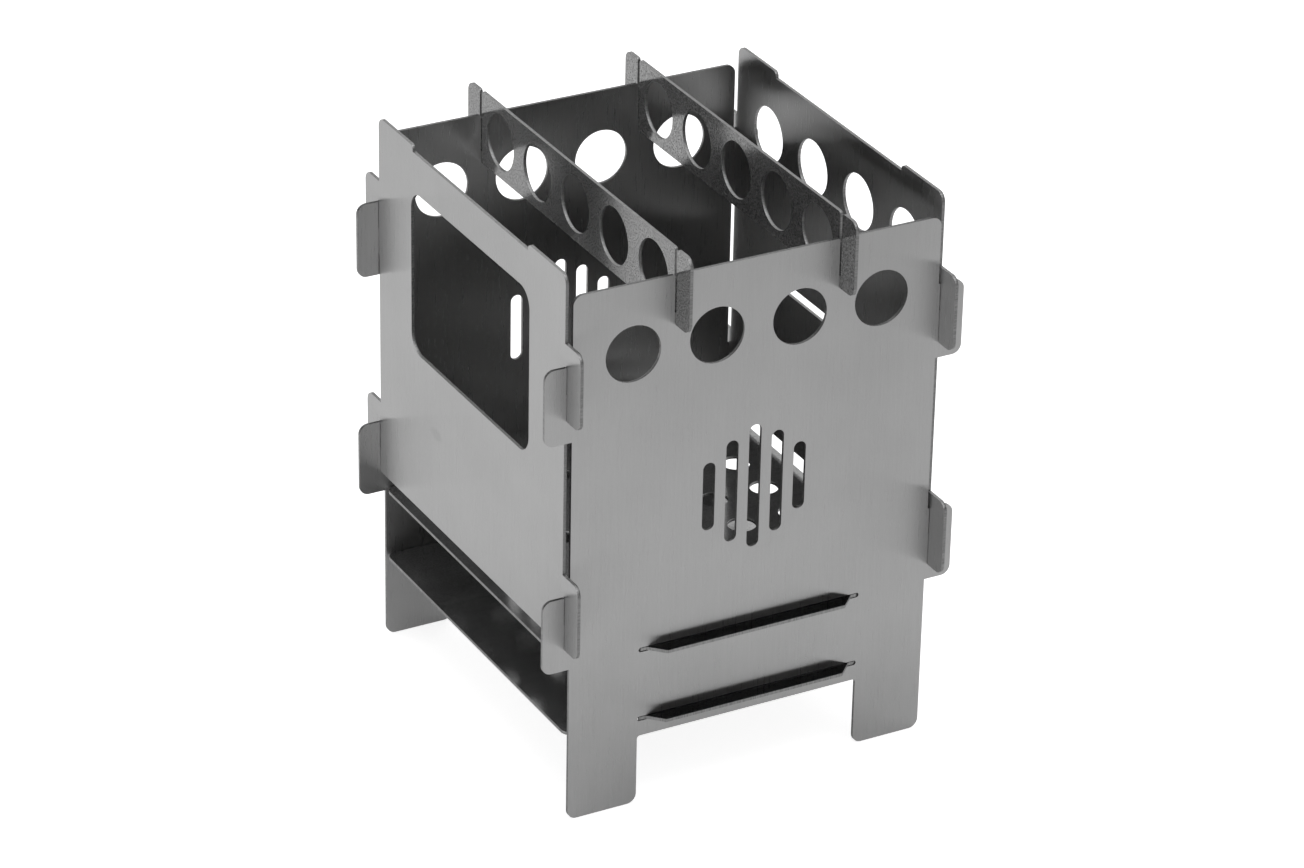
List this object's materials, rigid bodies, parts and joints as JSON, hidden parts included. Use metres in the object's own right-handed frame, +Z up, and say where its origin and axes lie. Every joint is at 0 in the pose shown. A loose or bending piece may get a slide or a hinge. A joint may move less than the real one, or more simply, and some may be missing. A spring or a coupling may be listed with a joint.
{
  "type": "twig stove",
  "caption": "Flat-pack twig stove of slotted steel sheets: a square chimney on legs with a feed window, round vents, a drilled fire grate, an ash plate and lift-off pot crossbars.",
  "frame": {"origin": "on the ground, under the middle of the stove", "axes": "+Z up, +X towards the right side panel; the feed window looks along -Y and the vented rear panel along +Y"},
  "size_m": [0.139, 0.137, 0.1785],
  "materials": {
    "panel_steel": "brushed",
    "plate_steel": "brushed",
    "crossbar_steel": "brushed"
  },
  "bodies": {
    "root": {"right_side_panel": "panel_steel", "left_side_panel": "panel_steel", "fire_grate": "plate_steel", "ash_plate": "plate_steel"},
    "feed_panel": {"feed_panel": "panel_steel"},
    "rear_panel": {"rear_panel": "panel_steel"},
    "front_crossbar": {"front_crossbar": "crossbar_steel"},
    "rear_crossbar": {"rear_crossbar": "crossbar_steel"}
  },
  "joints": [
    {"name": "feed_panel_lift", "type": "slide", "parent": "root", "child": "feed_panel", "axis": [0, 0, 1], "range_m": [0, 0.0425]},
    {"name": "rear_panel_lift", "type": "slide", "parent": "root", "child": "rear_panel", "axis": [0, 0, 1], "range_m": [0, 0.0445]},
    {"name": "front_crossbar_lift", "type": "slide", "parent": "root", "child": "front_crossbar", "axis": [0, 0, 1], "range_m": [0, 0.025]},
    {"name": "rear_crossbar_lift", "type": "slide", "parent": "root", "child": "rear_crossbar", "axis": [0, 0, 1], "range_m": [0, 0.025]}
  ]
}
